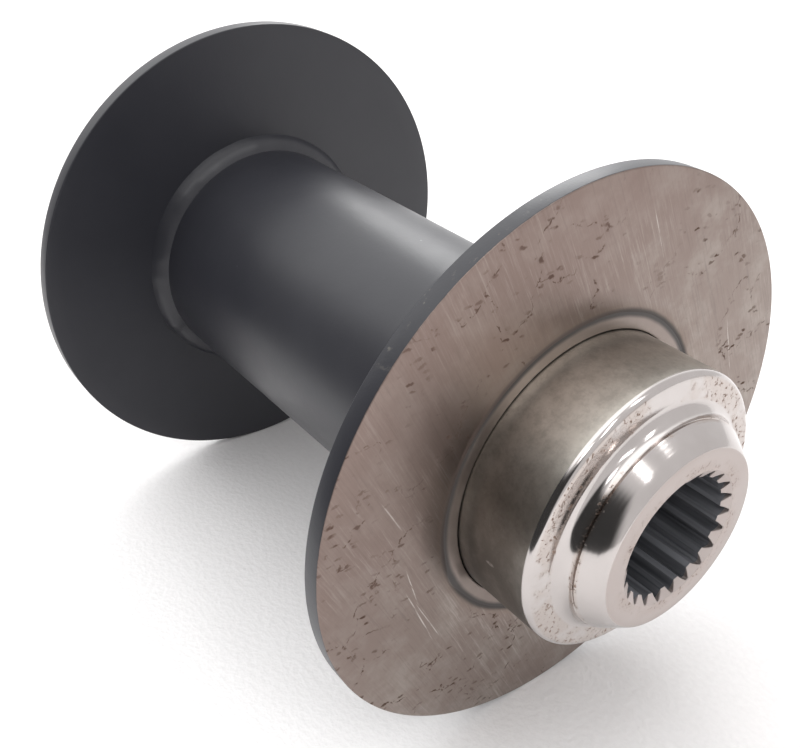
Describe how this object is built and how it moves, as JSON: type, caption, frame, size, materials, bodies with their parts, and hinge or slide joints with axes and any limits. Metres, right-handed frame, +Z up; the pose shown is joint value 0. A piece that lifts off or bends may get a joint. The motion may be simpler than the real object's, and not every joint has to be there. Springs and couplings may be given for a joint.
{
  "type": "winch rope drum",
  "caption": "Welded steel rope drum for a planetary winch: tube between round flanges, a splined hub at the gear end and a plain hub at the motor end.",
  "frame": {"origin": "on the drum's axis, midway between the inner faces of the two flanges", "axes": "+X along the drum's axis towards the splined gear end, +Z up, +Y completes the right-handed set"},
  "size_m": [0.2854, 0.2032, 0.2032],
  "materials": {
    "black_paint": "satin black paint",
    "plate_steel": "bare ground plate, lightly rusted",
    "turned_steel": "turned and polished",
    "weld_steel": "bare weld bead",
    "bronze": "plain bronze bush",
    "screw_steel": "black oxide"
  },
  "bodies": {
    "drum": {"barrel_tube": "black_paint", "gear_end_flange": "plate_steel", "motor_end_flange": "black_paint", "splined_hub": "turned_steel", "motor_end_hub": "turned_steel", "motor_end_bushing": "bronze", "gear_flange_weld": "black_paint", "motor_flange_weld": "black_paint", "gear_hub_weld": "weld_steel", "motor_hub_weld": "weld_steel", "rope_anchor_block": "plate_steel", "rope_anchor_weld": "weld_steel"},
    "outer_screw": {"outer_rope_screw": "screw_steel"},
    "inner_screw": {"inner_rope_screw": "screw_steel"}
  },
  "joints": [
    {"name": "outer_screw_travel", "type": "slide", "parent": "drum", "child": "outer_screw", "axis": [0, 0, 1], "range_m": [0, 0.005]},
    {"name": "inner_screw_travel", "type": "slide", "parent": "drum", "child": "inner_screw", "axis": [0, 0, 1], "range_m": [0, 0.005]}
  ]
}
